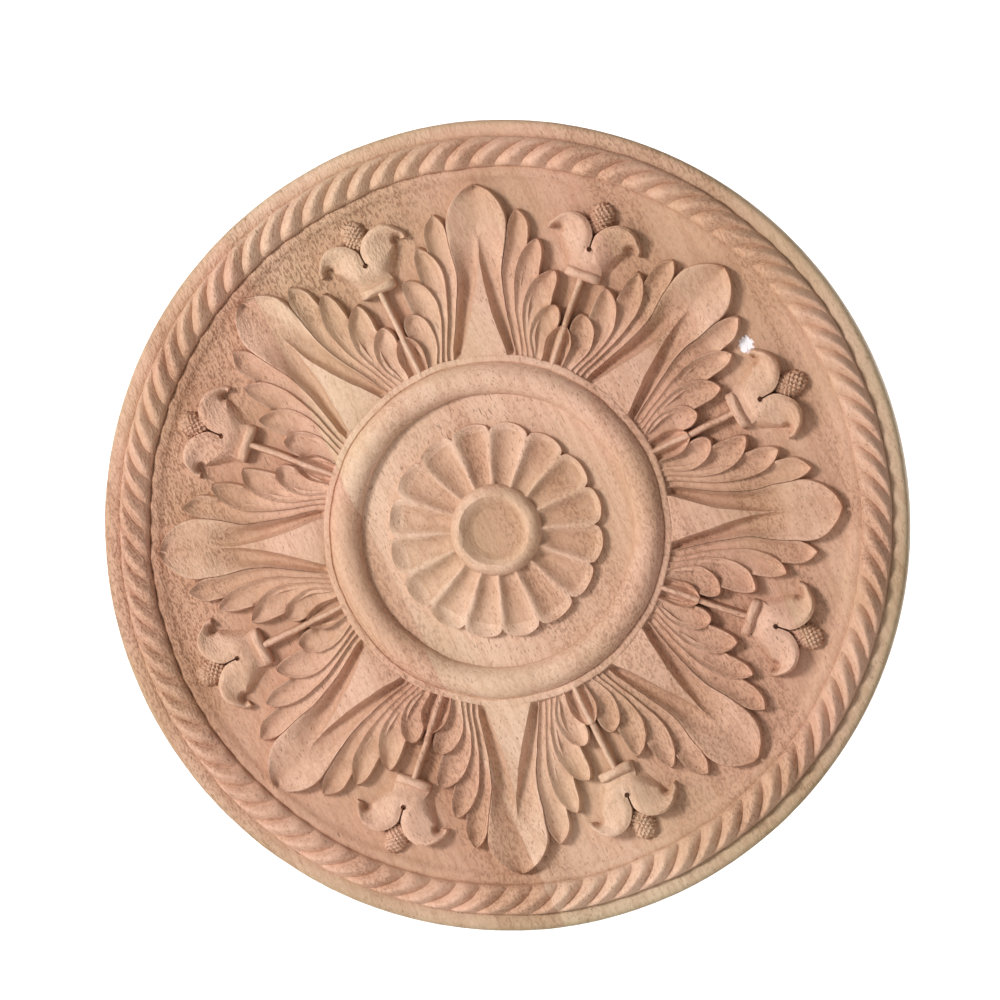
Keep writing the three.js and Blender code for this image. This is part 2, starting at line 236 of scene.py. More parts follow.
class Value:
    """A socket that works in sums: each operator adds its Math node."""

    def __init__(self, graph, socket):
        self.graph = graph
        self.socket = socket

    def math(self, operation, *others):
        return self.graph.math(operation, self, *others)

    def __add__(self, other):
        return self.math("ADD", other)

    __radd__ = __add__

    def __sub__(self, other):
        return self.math("SUBTRACT", other)

    def __rsub__(self, other):
        return self.graph.math("SUBTRACT", other, self)

    def __mul__(self, other):
        return self.math("MULTIPLY", other)

    __rmul__ = __mul__

    def __truediv__(self, other):
        return self.math("DIVIDE", other)

    def __rtruediv__(self, other):
        return self.graph.math("DIVIDE", other, self)

    def __pow__(self, other):
        return self.math("POWER", other)

    def __lt__(self, other):
        return self.math("LESS_THAN", other)

    def __gt__(self, other):
        return self.math("GREATER_THAN", other)

    def __neg__(self):
        return self * -1

    def __abs__(self):
        return self.math("ABSOLUTE")

    def __floor__(self):
        return self.math("FLOOR")

    def __mod__(self, other):
        return self.math("MODULO", other)


class Graph:
    """A node tree, and the one way to add a node to it."""

    def __init__(self, tree):
        self.tree = tree

    def node(self, kind, settings=None, sockets=None, output=0):
        """Adds a node with its settings, then the values or links of its sockets; gives one output."""
        made = self.tree.nodes.new(kind)
        for name, setting in (settings or {}).items():
            setattr(made, name, setting)
        for key, value in (sockets or {}).items():
            self.feed(socket_of(made.inputs, key), value)
        return Value(self, socket_of(made.outputs, output))

    def feed(self, socket, value):
        """Sets a socket to a value, or links one or several Values to it."""
        for part in value if isinstance(value, list) else [value]:
            if isinstance(part, Value):
                self.tree.links.new(part.socket, socket)
            else:
                socket.default_value = part

    def math(self, operation, *operands):
        return self.node("ShaderNodeMath", {"operation": operation}, dict(enumerate(operands)))


def socket_of(sockets, key):
    """The socket with this name, or in this place among those that the node shows."""
    shown = [socket for socket in sockets if socket.enabled]
    if isinstance(key, int):
        return shown[key]
    return next(socket for socket in shown if key in (socket.name, socket.identifier))


def sine(value):
    return value.math("SINE")


def cosine(value):
    return value.math("COSINE")


def larger(value, other):
    return value.math("MAXIMUM", other)


def smaller(value, other):
    return value.math("MINIMUM", other)


def within(value):
    """The value held between 0 and 1."""
    return smaller(larger(value, 0), 1)


def blend(low, high, share):
    return low + (high - low) * share


def smooth(low, high, value):
    """0 below low, 1 above high, and a soft rise between."""
    share = within((value - low) / (high - low))
    return share * share * (3 - 2 * share)


def vector(graph, x, y, z):
    return graph.node("ShaderNodeCombineXYZ", sockets={"X": x, "Y": y, "Z": z})


def parts(graph, value):
    """The three numbers of a vector or colour."""
    split = graph.node("ShaderNodeSeparateXYZ", sockets={0: value}).socket.node.outputs
    return [Value(graph, socket) for socket in split]


def new_tree(name, sizes):
    """A geometry tree with a named input for each size; gives its graph and its inputs by name."""
    tree = bpy.data.node_groups.new(name, "GeometryNodeTree")
    for size, value in sizes.items():
        socket = tree.interface.new_socket(size, in_out="INPUT", socket_type="NodeSocketFloat")
        socket.default_value = value
    tree.interface.new_socket("Mesh", in_out="OUTPUT", socket_type="NodeSocketGeometry")
    graph = Graph(tree)
    entry = tree.nodes.new("NodeGroupInput")
    return graph, {size: Value(graph, entry.outputs[size]) for size in sizes}


def end_tree(graph, mesh):
    exit_node = graph.tree.nodes.new("NodeGroupOutput")
    graph.feed(exit_node.inputs["Mesh"], mesh)
    return graph.tree


def use_tree(graph, tree, sizes=None):
    return graph.node("GeometryNodeGroup", {"node_tree": tree}, sizes)


def tube(graph, columns, rows):
    """A closed tube; gives its mesh, and the column and row of each of its points."""
    mesh = graph.node(
        "GeometryNodeMeshCylinder",
        {"fill_type": "NGON"},
        {"Vertices": columns, "Side Segments": rows - 1},
        "Mesh",
    )
    index = graph.node("GeometryNodeInputIndex")
    row = math.floor((index + 0.5) / columns)
    return mesh, index - row * columns, row


def placed(graph, mesh, x, y, z):
    """The mesh with its points moved to new places."""
    sockets = {"Geometry": mesh, "Position": vector(graph, x, y, z)}
    return graph.node("GeometryNodeSetPosition", sockets=sockets)


def placed_polar(graph, mesh, radius, angle, height):
    """As placed, from a radius and an angle round the middle."""
    return placed(graph, mesh, radius * cosine(angle), radius * sine(angle), height)


def down_to_field(height, base):
    """The height of a part's top, or of its base, which is sunk into the field."""
    return blend(height, -SINK, base) + FIELD_HEIGHT


def top_and_base(column, tops):
    """Splits the columns of a section: the share over its top from 0 to 1, and 1 on its two base points."""
    base = column > tops - 0.5
    over = within(column / (tops - 1))
    return blend(over, tops + 1 - column, base), base


def clustered(share):
    """Brings points closer at both ends of a row."""
    return (1 - cosine(share * math.pi)) / 2


def along_to_tip(row, rows, power):
    """The share along a part of each of its rows, which come closer towards its tip."""
    return 1 - (1 - row / (rows - 1)) ** power


def radius_at(along):
    """The distance from the middle at a share along a leaf."""
    return along * LEAF_LENGTH + RING_FOOT


def leaf_half(along):
    """Half the width of a long leaf before its tip, as a share of the half sector."""
    flare = within((LEAF_NECK - along) / LEAF_NECK) ** LEAF_FLARE
    swell = sine(within((along - LEAF_NECK) / (LEAF_BELLY - LEAF_NECK)) * (math.pi / 2))
    return blend(LEAF_NECK_HALF, LEAF_FOOT_HALF, flare) + swell * (LEAF_BELLY_HALF - LEAF_NECK_HALF)


def edge_across(edge, tip, along, blunt, beside=0):
    """Where an edge runs: out from its foot to its widest place, then round to the tip."""
    foot, widest, across = edge
    tip_along, tip_across = tip
    swell = blend(foot, across, sine(within(along / widest) * (math.pi / 2)))
    leaf_side = (1 - SEAM - leaf_half(smaller(along, widest))) * beside
    swell = larger(swell, leaf_side)
    turn = within((along - widest) / (tip_along - widest))
    return swell + (tip_across - across) * (1 - larger(1 - turn * turn, 0) ** blunt)


def lobe_tree():
    """One hollow lobe of a leaf, which runs in under the lobe that covers its tail."""
    sizes = {**LOBES[0], "Cover Along": 0.5, "Cover Across": 0.5, "Cover Foot": 0.5}
    sizes |= {"Cover Tip Along": 0.5, "Cover Tip Across": 0.5, "Cover Blunt": 0.6}
    graph, size = new_tree("Lobe", sizes)
    tops, rows = 15, 23
    mesh, column, row = tube(graph, tops + 2, rows)
    over, base = top_and_base(column, tops)
    share = along_to_tip(row, rows, 1.9)
    along = blend(-SINK / LEAF_LENGTH, size["Tip Along"], share)
    tip = (size["Tip Along"], size["Tip Across"])
    outer_edge = (size["Outer Foot"], size["Outer Along"], size["Outer Across"])
    outer = edge_across(outer_edge, tip, along, size["Blunt"], size["Beside Leaf"])
    free_edge = (size["Inner Foot"], size["Inner Along"], size["Inner Across"])
    free = edge_across(free_edge, tip, along, size["Blunt"])
    cover_tip = (size["Cover Tip Along"], size["Cover Tip Across"])
    cover_edge = (size["Cover Foot"], size["Cover Along"], size["Cover Across"])
    cover = edge_across(cover_edge, cover_tip, along, size["Cover Blunt"])
    cover = cover * (along < size["Cover Tip Along"])
    inner = smaller(larger(free, cover - LOBE_OVERLAP), outer - TIP_WIDTH)
    across = blend(inner, outer, clustered(over))
    seen = smaller(larger(free, cover), outer - TIP_WIDTH)
    radius = radius_at(along)
    width = (outer - seen) * radius * HALF_SECTOR
    place = within((across - seen) / (outer - seen)) * 2 - 1
    is_free = within((free - cover) / LOBE_FREE_STEP + 1)
    lip = larger(place, 0) + larger(-place, 0) * is_free
    hollow = smaller(size["Hollow"], width * LOBE_HOLLOW_LIMIT)
    soft = smaller(width * LOBE_SOFT_LIMIT, EDGE_SOFT)
    height = size["Rise"] - hollow * (1 - lip**2.1) - edge_fall(lip) * soft
    outwards = (over * 2 - 1) * base * DRAFT / (radius * HALF_SECTOR)
    foot_along = along + base * share**8 * (DRAFT / LEAF_LENGTH)
    angle = (across + outwards) * HALF_SECTOR
    radius = radius_at(foot_along)
    return end_tree(graph, placed_polar(graph, mesh, radius, angle, down_to_field(height, base)))


def edge_fall(place):
    """The softened arris of a rim: 1 at its outer edge, 0 a little way in."""
    return smooth(EDGE_SOFT_FROM, EDGE_SOFT_TO, place)


def leaf_tree():
    """A long leaf: a spoon at its tip, and two channels from the ring with a wedge between them.

    Flat is the share of its columns that lie on the wedge.
    """
    sizes = {"Rise": LEAF_RISE, "Channel Depth": CHANNEL_DEPTH, "Hollow": SPOON_HOLLOW}
    graph, size = new_tree("Leaf", sizes)
    tops, rows = 27, 40
    flat = 3 / 13

    # Shares along the leaf between which its channels start and end, and its spoon starts
    channel_start = (-0.012, 0.01)
    channel_end = (0.42, 0.76)
    spoon_start = (WEDGE_END - 0.03, WEDGE_END + 0.05)

    mesh, column, row = tube(graph, tops + 2, rows)
    over, base = top_and_base(column, tops)
    signed = over * 2 - 1
    side = signed.math("SIGN")
    share = along_to_tip(row, rows, 1.8)
    along = blend(-SINK / LEAF_LENGTH, 1, share)
    close = within((along - LEAF_BELLY) / (1 - LEAF_BELLY))
    half = larger(leaf_half(along) * larger(1 - close * close, 0) ** LEAF_BLUNT, TIP_WIDTH)
    spoon = smooth(*spoon_start, along)
    wedge = within((WEDGE_END - larger(along, 0)) / WEDGE_END) ** WEDGE_TAPER * WEDGE_FOOT_HALF
    wedge = blend(larger(wedge, TIP_WIDTH / 2), half * 0.22, spoon)
    outside = within((abs(signed) - flat) / (1 - flat))
    place = clustered(outside)
    across = wedge * within(abs(signed) / flat) + (half - wedge) * place
    valley = size["Rise"] - size["Hollow"]
    foot = (1 - smooth(0, 0.035, along)) * WEDGE_FOOT_DROP
    line = blend(WEDGE_RISE, valley, smooth(0.08, WEDGE_END, along)) - foot
    channel = size["Channel Depth"] * (1 - smooth(*channel_end, along)) * smooth(*channel_start, along)
    shift = blend(1, 0.75, smooth(0.35, 0.65, along))
    tray = 1 - abs(place**shift * 2 - 1) ** 2.4
    ridged = blend(line, size["Rise"], place**1.3) - channel * tray
    bowl = valley + size["Hollow"] * (across / half) ** blend(1.1, 1.6, smooth(WEDGE_END, 0.95, along))
    height = blend(ridged, bowl, spoon) - edge_fall(place) * smaller(half * 0.02, EDGE_SOFT)
    radius = radius_at(along)
    outwards = base * DRAFT / (radius * HALF_SECTOR)
    angle = (across + outwards) * side * HALF_SECTOR
    foot_along = along + base * share**8 * (DRAFT / LEAF_LENGTH)
    radius = radius_at(foot_along)
    return end_tree(graph, placed_polar(graph, mesh, radius, angle, down_to_field(height, base)))


def bulb_tree():
    """The onion-shaped bulb at the foot of a stem: a rib in the middle and a deep scoop on each side.

    Flat is the share of its columns that lie on the rib.
    """
    graph, size = new_tree("Bulb", {**BULB, "Rise": 5.8 * MM, "Hollow": 4.0 * MM, "Rib Half": 0.026})
    tops, rows = 21, 20
    flat = 3 / 10
    mesh, column, row = tube(graph, tops + 2, rows)
    over, base = top_and_base(column, tops)
    signed = over * 2 - 1
    along = blend(-SINK / LEAF_LENGTH, size["Tip Along"], row / (rows - 1))
    edge = (size["Outer Foot"], size["Outer Along"], size["Outer Across"])
    half = edge_across(edge, (size["Tip Along"], size["Tip Across"]), along, BULB_BLUNT)
    rib = smaller(size["Rib Half"], half * 0.6)
    place = clustered(within((abs(signed) - flat) / (1 - flat)))
    across = rib * within(abs(signed) / flat) + (half - rib) * place
    channel = smaller(size["Hollow"], (half - rib) * radius_at(along) * (0.95 * HALF_SECTOR))
    height = size["Rise"] - channel * (1 - abs(place * 2 - 1) ** 2.6)
    height = height - (1 - within(1 - abs(signed) / flat) ** 0.4) * 0.3 * MM * (place < 0.01)
    angle = across * signed.math("SIGN") * HALF_SECTOR
    radius = radius_at(along)
    return end_tree(graph, placed_polar(graph, mesh, radius, angle, down_to_field(height, base)))


def stem_tree():
    """The thin stem along the axis of a flower, with a round back."""
    sizes = {"From": 0.1, "To": 0.54, "Half": 1.05 * MM, "Foot Half": 1.8 * MM, "Rise": 5.0 * MM}
    graph, size = new_tree("Stem", sizes)
    tops, rows = 11, 12
    mesh, column, row = tube(graph, tops + 2, rows)
    over, base = top_and_base(column, tops)
    signed = clustered(over) * 2 - 1
    beside = signed * blend(size["Half"], size["Foot Half"], base)
    along = blend(size["From"], size["To"], row / (rows - 1))
    back = (1 - signed * signed) ** 0.5
    height = size["Rise"] - size["Half"] * (1 - back)
    return end_tree(graph, placed(graph, mesh, radius_at(along), beside, down_to_field(height, base)))


def calyx_tree():
    """The neck above the collar, which runs up to the notch between the two petals."""
    sizes = {"From": 99.8 * MM, "To": NOTCH_RADIUS + 0.3 * MM, "Foot Half": 7.0 * MM, "Top Half": 4.6 * MM}
    sizes |= {"Foot Rise": 3.8 * MM, "Rise": FLOWER_RISE}
    graph, size = new_tree("Calyx", sizes)
    tops, rows = 15, 14
    mesh, column, row = tube(graph, tops + 2, rows)
    over, base = top_and_base(column, tops)
    share = row / (rows - 1)
    signed = clustered(over) * 2 - 1
    half = blend(size["Foot Half"], size["Top Half"], smooth(0, 1, share))
    crest = blend(size["Foot Rise"], size["Rise"], smooth(0.05, 0.75, share))
    height = crest * (1 - 0.3 * signed * signed)
    radius = blend(size["From"], size["To"], share)
    return end_tree(graph, placed(graph, mesh, radius, signed * half, down_to_field(height, base)))


def petal_tree():
    """One petal of a flower: a high rim that turns outwards like a hook round a hollow eye."""
    sizes = {
        "Eye Radius": 112.7 * MM, "Eye Beside": 14 * MM,
        "Neck Reach": 14.8 * MM, "Hook Reach": 3.8 * MM, "Eye Half": 1.8 * MM,
        "From": math.radians(-156), "To": math.radians(106),
        "Slot Half": 0.3 * MM, "Rise": FLOWER_RISE, "Floor": -0.3 * MM,
    }
    graph, size = new_tree("Flower Petal", sizes)
    tops, rows = 17, 34
    mesh, column, row = tube(graph, tops + 2, rows)
    over, base = top_and_base(column, tops)
    share = 1 - row / (rows - 1)
    turn = blend(size["From"], size["To"], share)
    neck_from, neck_to = math.radians(-118), math.radians(45)
    hook_from, hook_to = math.radians(-20), math.radians(90)
    neck = 1 - smooth(neck_from, neck_to, turn)
    reach = blend(size["Hook Reach"], size["Neck Reach"], neck)
    reach = smaller(reach, (size["Eye Beside"] - size["Slot Half"]) / larger(-sine(turn), 0.3))
    hook = smooth(hook_from, hook_to, turn)
    rim = size["Rise"] * (1 - 0.4 * hook)
    out = blend(0.03, 1, over)
    reach = reach * out
    pit = smooth(size["Eye Half"] * 0.4, size["Eye Half"] * 1.5, reach)
    swell = blend(pit, smooth(0.1, 0.88, out), 0.42) * (1 - 0.12 * smooth(0.86, 1, out))
    shoulder = blend(-0.04, 1, smooth(size["From"] - 0.08, size["From"] + 0.6, turn))
    height = blend(size["Floor"], rim, swell * shoulder)
    reach = reach + base * over * DRAFT * (1 - neck)
    x = size["Eye Radius"] + reach * cosine(turn)
    y = size["Eye Beside"] + reach * sine(turn)
    return end_tree(graph, placed(graph, mesh, x, y, down_to_field(height, base)))


def dome(graph, columns, rows):
    """The top of a ball of radius 1, down to a little below its middle: its mesh, and X, Y and Z."""
    mesh, column, row = tube(graph, columns, rows)
    angle = column * (2 * math.pi / columns)
    down = blend(math.radians(4), math.radians(104), row / (rows - 1))
    return mesh, cosine(angle) * sine(down), sine(angle) * sine(down), cosine(down)


def collar_tree():
    """The collar of a flower: a low bar with round edges across the stem."""
    sizes = {"Radius": 99.1 * MM, "Length": 4 * MM, "Half": 7.2 * MM, "Rise": 6.2 * MM, "Square": 6}
    graph, size = new_tree("Collar", sizes)
    mesh, x, y, z = dome(graph, 32, 8)
    flat = (x * x + y * y) ** 0.5
    power = size["Square"]
    corner = (abs(x) ** power + abs(y) ** power) ** (1 / power)
    stretch = flat / larger(corner, 1e-6)
    across = y * stretch * size["Half"]
    out = x * stretch * (size["Length"] / 2) + size["Radius"]
    height = (larger(z, 0) ** 0.5 + smaller(z, 0)) * size["Rise"]
    return end_tree(graph, placed(graph, mesh, out, across, height + FIELD_HEIGHT))


def bud_tree():
    """The bud above a flower, cut over with crossing grooves."""
    sizes = {"Along": 0.888, "Length": 6.8 * MM, "Half": 5.2 * MM, "Rise": 5.2 * MM}
    sizes |= {"Pitch": 2.0 * MM, "Cut": 0.9 * MM}
    graph, size = new_tree("Bud", sizes)
    mesh, x, y, z = dome(graph, 48, 18)
    x = x * size["Length"]
    y = y * size["Half"]
    turn = math.pi / size["Pitch"]
    lump = abs(sine((x + y * 0.8) * turn)) * abs(sine((x - y * 0.8) * turn))
    swell = 1 - (1 - within(lump * 1.6)) * size["Cut"] / size["Rise"]
    out = radius_at(size["Along"]) + x * swell
    height = z * size["Rise"] * swell + FIELD_HEIGHT
    return end_tree(graph, placed(graph, mesh, out, y * swell, height))


def turned(graph, columns, bands):
    """A closed body round the middle. A band has its steps and a rule for its radius, turn and height."""
    rows = 1 + sum(steps for steps, _ in bands)
    mesh, column, row = tube(graph, columns, rows)
    row = rows - 1 - row
    angle = column * (2 * math.pi / columns)
    place = [0, 0, 0]
    start = 0
    for steps, rule in bands:
        share = within((row - start) / steps)
        reached = row > start + 0.25 if start else 1
        place = [blend(old, new, reached) for old, new in zip(place, rule(share, column, angle))]
        start += steps
    radius, turn, height = place
    return placed_polar(graph, mesh, radius, angle + turn, height)


def line_band(steps, start, end, turn=0):
    """A straight band from one radius and height to another."""
    return steps, lambda share, column, angle: (
        blend(start[0], end[0], share), turn, blend(start[1], end[1], share)
    )


def round_band(steps, middle, foot, width, height, start, end):
    """A band round a quarter or half of an oval."""

    def rule(share, column, angle):
        turn = blend(start, end, share)
        return middle + width * cosine(turn), 0, foot + height * sine(turn)

    return steps, rule


def foot_groove(angle):
    """The depth of the groove along the inside of the rope, which fades away on the right."""
    return blend(0.05, 0.9, 0.5 + 0.5 * sine(angle + CARVING_TURN)) * MM


def rope_rule(share, column, angle):
    """The rope: a half round whose strands lean as they cross it, with a groove between each two."""
    phase = (column % STRAND_COLUMNS) * (2 / STRAND_COLUMNS) - 1
    groove = abs(phase) ** 1.35 * STRAND_GROOVE
    turn = share * math.pi
    foot = blend(LEDGE_HEIGHT - QUIRK_DEPTH, FILLET_HEIGHT - foot_groove(angle), share)
    radius = (ROPE_WIDTH / 2) * cosine(turn) + (ROPE_OUTER + ROPE_INNER) / 2
    height = (ROPE_HEIGHT - foot - groove) * sine(turn) ** 0.9 + foot
    inwards = within((ROPE_OUTER - radius) / ROPE_WIDTH)
    return radius, STRAND_LEAN * (1 - (1 - inwards) ** 1.8), height


def plate_tree():
    """The round plate: back, edge, plain ledge, rope, fillet and the flat field."""
    graph, size = new_tree("Plate", {"Diameter": DIAMETER, "Field Height": FIELD_HEIGHT})
    rim = size["Diameter"] / 2
    field = size["Field Height"]
    quirk = ROPE_OUTER + QUIRK_WIDTH
    quirk_foot = LEDGE_HEIGHT - QUIRK_DEPTH
    wall_top = LEDGE_HEIGHT - EDGE_ROUND
    fillet_edge = (ROPE_INNER - 1 * MM, FILLET_HEIGHT)
    ease_start = FILLET_INNER + 0.4 * MM
    ease = 3.6 * MM

    def groove_rule(share, column, angle):
        return ROPE_INNER, STRAND_LEAN, FILLET_HEIGHT - foot_groove(angle)

    def fillet_rule(share, column, angle):
        fall = smooth(0, 1, share)
        return ease_start - ease * share, STRAND_LEAN, blend(FILLET_HEIGHT, field, fall)

    bands = [
        line_band(2, (rim, 0), (rim, wall_top)),
        round_band(4, rim - EDGE_ROUND, wall_top, EDGE_ROUND, EDGE_ROUND, 0, math.pi / 2),
        line_band(1, (quirk, LEDGE_HEIGHT), (quirk, LEDGE_HEIGHT)),
        line_band(1, (ROPE_OUTER, quirk_foot), (ROPE_OUTER, quirk_foot)),
        (13, rope_rule),
        (1, groove_rule),
        line_band(1, fillet_edge, fillet_edge, STRAND_LEAN),
        (4, fillet_rule),
    ]
    return end_tree(graph, turned(graph, STRAND_COLUMNS * STRANDS, bands))


def ring_tree():
    """The moulded ring round the middle, with the ledge at its foot and the disc inside it."""
    graph, size = new_tree("Ring", {"Foot Diameter": RING_FOOT_DIAMETER, "Width": RING_WIDTH})
    foot = size["Foot Diameter"] / 2
    outer = foot - RING_LEDGE
    inner = outer - size["Width"]
    crest = (outer + inner) / 2
    half = size["Width"] / 2
    quirk = 0.5 * MM
    top = RING_LEDGE_HEIGHT
    rise = RING_HEIGHT - INNER_DISC_HEIGHT
    bands = [
        line_band(1, (foot, FIELD_HEIGHT - SINK), (foot, top - 0.4 * MM)),
        line_band(2, (foot - 0.1 * MM, top - 0.2 * MM), (foot - 0.5 * MM, top)),
        line_band(1, (outer + quirk, top), (outer + quirk, top)),
        line_band(1, (outer, top - quirk), (outer, top - quirk)),
        round_band(18, crest, INNER_DISC_HEIGHT, half, rise, math.radians(14), math.pi),
    ]
    return end_tree(graph, turned(graph, 256, bands))


def daisy_tree():
    """The daisy in the middle: a scoop in each petal, with a thin rim round its end."""
    sizes = {"Diameter": DAISY_DIAMETER, "Hollow": PETAL_HOLLOW, "Notch": DAISY_NOTCH}
    graph, size = new_tree("Daisy", sizes)
    per_petal = 16
    columns = per_petal * PETALS
    rows = 24
    mesh, column, row = tube(graph, columns, rows)
    row = rows - 1 - row
    signed = (column % per_petal) / (per_petal / 2) - 1
    bow = larger(1 - signed * signed, 0) ** 0.5
    outline = size["Diameter"] / 2 - size["Notch"] * (1 - bow)
    share = within((row - 2) / (rows - 3))
    under_button = 2 * MM
    soft_width = 0.6 * MM
    soft_drop = 0.35 * MM
    foot_out = 0.3 * MM
    inside = BUTTON_DIAMETER / 2 - under_button
    radius = blend(outline, inside, 1 - (1 - share) ** 1.5)
    tip_distance = outline - radius
    across = larger(1 - (abs(signed) * 1.1) ** 2.2, 0)
    end = 1 - (1 - within((tip_distance - DAISY_RIM) / DAISY_SCOOP_END)) ** 2.2
    inner = blend(0.6, 1, smooth(0, 9 * MM, radius - inside))
    height = DAISY_HEIGHT - size["Hollow"] * across * end * inner
    soft = 1 - smooth(0, soft_width, tip_distance)
    height = height - soft * soft_drop
    wall = row < 1.5
    foot = row < 0.5
    radius = radius + foot * foot_out
    wall_height = blend(DAISY_HEIGHT - soft_width, INNER_DISC_HEIGHT - SINK, foot)
    height = blend(height, wall_height, wall)
    angle = column * (2 * math.pi / columns)
    return end_tree(graph, placed_polar(graph, mesh, radius, angle, height))


def button_tree():
    """The dished button in the middle of the daisy."""
    graph, size = new_tree("Button", {"Diameter": BUTTON_DIAMETER, "Dish": BUTTON_DISH})
    foot = size["Diameter"] / 2
    crest = BUTTON_CREST
    base = DAISY_HEIGHT - PETAL_HOLLOW * 0.7

    def dish_rule(share, column, angle):
        fall = 1 - (1 - within((share - 0.03) / 0.55)) ** 2.2
        return crest * (1 - share), 0, BUTTON_HEIGHT - size["Dish"] * fall

    bands = [
        line_band(1, (foot, INNER_DISC_HEIGHT), (foot, base)),
        round_band(8, crest, base, foot - crest, BUTTON_HEIGHT - base, 0, math.pi / 2),
        (12, dish_rule),
    ]
    return end_tree(graph, turned(graph, 112, bands))


def joined(graph, meshes):
    """Fuses several closed meshes into one closed mesh."""
    settings = {"operation": "UNION", "solver": "MANIFOLD"}
    return graph.node("GeometryNodeMeshBoolean", settings, {"Mesh": meshes}, "Mesh")


def turned_mesh(graph, mesh, rotation):
    """The mesh turned round the origin."""
    return graph.node("GeometryNodeTransform", sockets={"Geometry": mesh, "Rotation": rotation})


def mirrored(graph, mesh):
    """The same mesh on the other side of the axis of its flower, with its faces still outwards."""
    other = graph.node("GeometryNodeTransform", sockets={"Geometry": mesh, "Scale": (1, -1, 1)})
    return graph.node("GeometryNodeFlipFaces", sockets={"Mesh": other})


def sector_tree():
    """One eighth of the carving: a flower on the X axis, its lobes on both sides and one long leaf."""
    graph, _ = new_tree("Sector", {})
    lobe = lobe_tree()
    halves = []
    for index, sizes in enumerate(LOBES):
        cover = LOBES[index + 1] if index + 1 < len(LOBES) else {**BULB, "Blunt": BULB_BLUNT}
        covered = {
            "Cover Along": cover["Outer Along"], "Cover Across": cover["Outer Across"],
            "Cover Foot": cover["Outer Foot"], "Cover Blunt": cover["Blunt"],
            "Cover Tip Along": cover["Tip Along"], "Cover Tip Across": cover["Tip Across"],
        }
        halves.append(use_tree(graph, lobe, {**sizes, **covered}))
    halves.append(use_tree(graph, petal_tree()))
    meshes = [part for half in halves for part in (half, mirrored(graph, half))]
    meshes.append(turned_mesh(graph, use_tree(graph, leaf_tree()), (0, 0, HALF_SECTOR)))
    for tree in (bulb_tree(), stem_tree(), calyx_tree(), collar_tree(), bud_tree()):
        meshes.append(use_tree(graph, tree))
    return end_tree(graph, drilled(graph, joined(graph, meshes)))


def drilled(graph, mesh):
    """Drills the small hole at the foot of the slot between two petals, halfway down the flower."""
    length = 4 * FLOWER_RISE
    middle = FIELD_HEIGHT + FLOWER_RISE / 2 + length / 2
    sizes = {"Vertices": 14, "Radius": DRILL_RADIUS, "Depth": length}
    drill = graph.node("GeometryNodeMeshCylinder", {"fill_type": "NGON"}, sizes, "Mesh")
    place = {"Geometry": drill, "Translation": (NOTCH_RADIUS, 0, middle)}
    drill = graph.node("GeometryNodeTransform", sockets=place)
    settings = {"operation": "DIFFERENCE", "solver": "MANIFOLD"}
    return graph.node("GeometryNodeMeshBoolean", settings, {"Mesh 1": mesh, "Mesh 2": drill}, "Mesh")


def uneven(graph, mesh, seed, size, reach, rise):
    """The small unevenness of hand carving, which leaves the back alone and is slight on the ledge."""
    x, y, z = parts(graph, graph.node("GeometryNodeInputPosition"))
    spot = vector(graph, x / size, y / size, z / size + seed)
    sockets = {"Vector": spot, "Scale": 1, "Detail": 1}
    shake = graph.node("ShaderNodeTexNoise", {"noise_dimensions": "3D"}, sockets, "Color")
    shift_x, shift_y, shift_z = (part - 0.5 for part in parts(graph, shake))
    front = smooth(-3 * MM, -6 * MM, y)
    radius = (x * x + z * z) ** 0.5
    turned_edge = smooth(ROPE_OUTER - 3 * MM, ROPE_OUTER + 3 * MM, radius)
    free = front * (1 - turned_edge * 0.75)
    offset = vector(graph, shift_x * free * reach, shift_y * free * rise, shift_z * free * reach)
    return graph.node("GeometryNodeSetPosition", sockets={"Geometry": mesh, "Offset": offset})


def rosette_tree(material):
    """The whole rosette: plate, ring, daisy and button, with eight sectors of carving between them."""
    sizes = {"Leaves": LEAVES, "Turn": CARVING_TURN, "Sharp Angle": math.radians(42)}
    graph, size = new_tree("Rosette", sizes)
    line = graph.node("GeometryNodeMeshLine", sockets={"Count": LEAVES, "Offset": (0, 0, 0)})
    index = graph.node("GeometryNodeInputIndex")
    spin = vector(graph, 0, 0, (index * 2 + 1) * (math.pi / size["Leaves"]))
    sectors = graph.node(
        "GeometryNodeInstanceOnPoints",
        sockets={"Points": line, "Instance": use_tree(graph, sector_tree()), "Rotation": spin},
    )
    middle = [use_tree(graph, tree) for tree in (ring_tree(), daisy_tree(), button_tree())]
    upright = vector(graph, 0, 0, size["Turn"] + math.pi / 2)
    stand = {"Rotation": upright, "Translation": (*CARVING_SHIFT, 0)}
    carving = [
        graph.node("GeometryNodeTransform", sockets={"Geometry": mesh, **stand})
        for mesh in (sectors, *middle)
    ]
    plate = turned_mesh(graph, use_tree(graph, plate_tree()), upright)
    whole = turned_mesh(graph, joined(graph, [plate, *carving]), (math.pi / 2, 0, 0))
    whole = uneven(graph, whole, seed=3.7, size=16 * MM, reach=1.6 * MM, rise=0.8 * MM)
    whole = uneven(graph, whole, seed=8.2, size=4 * MM, reach=0.35 * MM, rise=0.35 * MM)
    smoothed = {"Geometry": whole, "Shade Smooth": True}
    whole = graph.node("GeometryNodeSetShadeSmooth", {"domain": "FACE"}, smoothed)
    sharp = graph.node("GeometryNodeInputMeshEdgeAngle", output="Unsigned Angle") > size["Sharp Angle"]
    creased = {"Geometry": whole, "Selection": sharp, "Shade Smooth": False}
    whole = graph.node("GeometryNodeSetShadeSmooth", {"domain": "EDGE"}, creased)
    whole = graph.node("GeometryNodeRealizeInstances", sockets={"Geometry": whole})
    whole = graph.node("GeometryNodeSetMaterial", sockets={"Geometry": whole, "Material": material})
    return end_tree(graph, whole)


